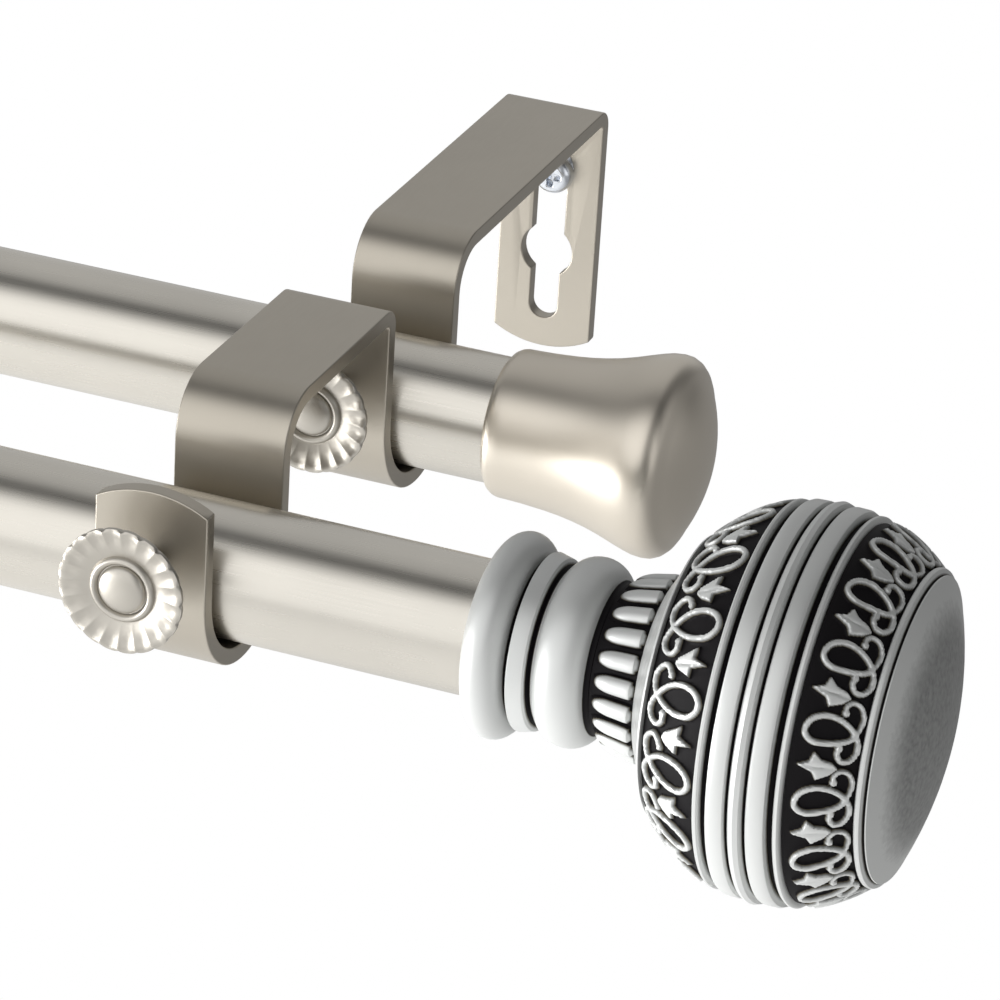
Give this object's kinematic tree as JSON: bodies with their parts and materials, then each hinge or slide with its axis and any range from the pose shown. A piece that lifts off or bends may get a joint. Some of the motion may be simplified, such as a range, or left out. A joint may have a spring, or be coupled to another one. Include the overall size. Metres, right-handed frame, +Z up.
{
  "type": "double telescoping curtain pole with brackets",
  "caption": "Double telescoping curtain pole in satin nickel: two round tubes on bent strap brackets, cast scrolled ball finials in front and flared end caps behind.",
  "frame": {"origin": "on the wall at the centre line of the right-hand bracket, in the middle of the strip of its wall plate between the keyhole slot and the bend", "axes": "+X along the poles to the right-hand finial, +Y into the wall, +Z up"},
  "size_m": [0.889, 0.2498, 0.073],
  "materials": {
    "satin_nickel": "satin",
    "champagne_nickel": "satin",
    "bracket_nickel": "satin",
    "zinc": "bright",
    "antique_silver": "painted antique silver over black",
    "grey_plastic": "moulded",
    "white_plastic": "moulded"
  },
  "bodies": {
    "fixed_half": {"bracket_right": "bracket_nickel", "wall_screw_right": "zinc", "front_outer_tube": "satin_nickel", "rear_outer_tube": "satin_nickel", "finial_right": "antique_silver", "finial_stud_right": "zinc", "tube_insert_right": "grey_plastic", "end_cap_right": "champagne_nickel", "cap_liner_right": "white_plastic"},
    "sliding_half": {"bracket_left": "bracket_nickel", "wall_screw_left": "zinc", "front_inner_tube": "satin_nickel", "rear_inner_tube": "satin_nickel", "front_glide": "grey_plastic", "rear_glide": "grey_plastic", "finial_left": "antique_silver", "finial_stud_left": "zinc", "tube_insert_left": "grey_plastic", "end_cap_left": "champagne_nickel", "cap_liner_left": "white_plastic"},
    "front_clamp_right": {"front_thumb_screw_right": "satin_nickel", "front_rosette_right": "satin_nickel"},
    "rear_clamp_right": {"rear_thumb_screw_right": "satin_nickel", "rear_rosette_right": "satin_nickel"},
    "front_clamp_left": {"front_thumb_screw_left": "satin_nickel", "front_rosette_left": "satin_nickel"},
    "rear_clamp_left": {"rear_thumb_screw_left": "satin_nickel", "rear_rosette_left": "satin_nickel"}
  },
  "joints": [
    {"name": "pole_length", "type": "slide", "parent": "fixed_half", "child": "sliding_half", "axis": [-1, 0, 0], "range_m": [0, 0.46]},
    {"name": "front_clamp_screw_right", "type": "slide", "parent": "fixed_half", "child": "front_clamp_right", "axis": [0, -1, 0], "range_m": [0, 0.008]},
    {"name": "rear_clamp_screw_right", "type": "slide", "parent": "fixed_half", "child": "rear_clamp_right", "axis": [0, -1, 0], "range_m": [0, 0.008]},
    {"name": "front_clamp_screw_left", "type": "slide", "parent": "sliding_half", "child": "front_clamp_left", "axis": [0, -1, 0], "range_m": [0, 0.008]},
    {"name": "rear_clamp_screw_left", "type": "slide", "parent": "sliding_half", "child": "rear_clamp_left", "axis": [0, -1, 0], "range_m": [0, 0.008]}
  ]
}
